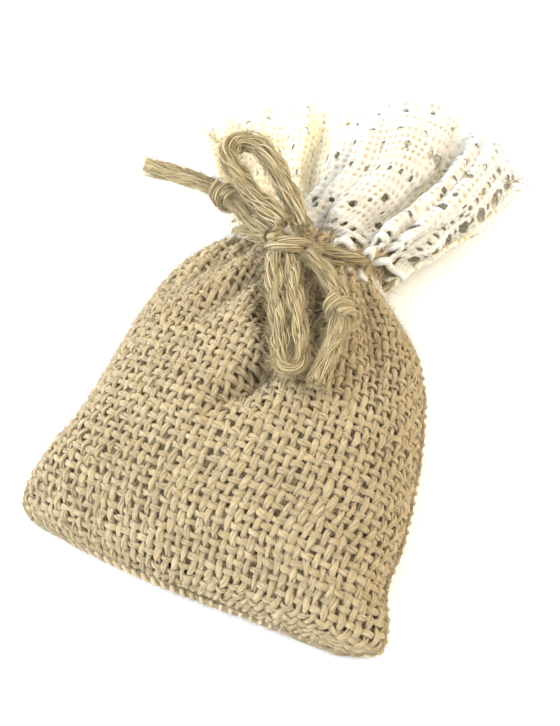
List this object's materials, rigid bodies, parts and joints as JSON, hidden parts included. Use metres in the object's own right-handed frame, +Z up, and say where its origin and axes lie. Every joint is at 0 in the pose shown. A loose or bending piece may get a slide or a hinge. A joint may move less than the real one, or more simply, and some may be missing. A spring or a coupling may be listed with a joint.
{
  "type": "drawstring gift pouch",
  "caption": "Small stuffed burlap gift pouch lying on its back, with a gathered cotton lace mouth and a jute twine drawstring tied in a bow with knotted, frayed tails.",
  "frame": {"origin": "on the table, under the middle of the pouch and its lace, without the bow", "axes": "+Z up from the table, +Y from the closed bottom edge towards the lace mouth, +X across the pouch to the right as seen from above with the mouth away"},
  "size_m": [0.0912, 0.1319, 0.0331],
  "materials": {
    "burlap": "natural jute plain weave, open and slubby",
    "dried_filling": "loose brown dried filling",
    "cotton_lace": "off-white cotton bobbin lace",
    "sewing_thread": "matt spun thread",
    "jute_twine": "twisted hairy jute strands"
  },
  "bodies": {
    "pouch": {"front_panel": "burlap", "back_panel": "burlap", "filling": "dried_filling", "left_side_seam": "burlap", "right_side_seam": "burlap", "bottom_seam": "burlap", "front_lace_gathers": "cotton_lace", "back_lace_gathers": "cotton_lace", "lace_stitching": "sewing_thread", "drawstring_neck_turn": "jute_twine", "bow_knot": "jute_twine"},
    "front_lace_flap": {"front_lace": "cotton_lace"},
    "back_lace_flap": {"back_lace": "cotton_lace"},
    "upper_bow_loop": {"upper_loop": "jute_twine"},
    "lower_bow_loop": {"lower_loop": "jute_twine"},
    "left_bow_tail": {"left_tail": "jute_twine", "left_end_knot": "jute_twine", "left_frayed_end": "jute_twine"},
    "right_bow_tail": {"right_tail": "jute_twine", "right_end_knot": "jute_twine", "right_frayed_end": "jute_twine"}
  },
  "joints": [
    {"name": "front_lace_lift", "type": "hinge", "parent": "pouch", "child": "front_lace_flap", "pos_m": [0.0015, 0.0204, 0.022], "axis": [1, 0, 0], "range_deg": [0, 35]},
    {"name": "back_lace_lift", "type": "hinge", "parent": "pouch", "child": "back_lace_flap", "pos_m": [-0.0035, 0.0204, 0.0097], "axis": [1, 0, 0], "range_deg": [0, 8]},
    {"name": "upper_loop_lift", "type": "hinge", "parent": "pouch", "child": "upper_bow_loop", "pos_m": [-0.0072, 0.01165, 0.02905], "axis": [0.6691, 0.7431, 0], "range_deg": [0, 45]},
    {"name": "lower_loop_lift", "type": "hinge", "parent": "pouch", "child": "lower_bow_loop", "pos_m": [-0.0063, 0.00345, 0.02765], "axis": [-0.9233, -0.3841, 0], "range_deg": [0, 45]},
    {"name": "left_tail_swing", "type": "hinge", "parent": "pouch", "child": "left_bow_tail", "pos_m": [-0.0114, 0.0085, 0.0274], "axis": [0.197, 0.724, 0.661], "range_deg": [0, 40]},
    {"name": "right_tail_lift", "type": "hinge", "parent": "pouch", "child": "right_bow_tail", "pos_m": [-0.0019, 0.0074, 0.0271], "axis": [-0.8141, -0.5046, 0.2873], "range_deg": [0, 45]}
  ]
}
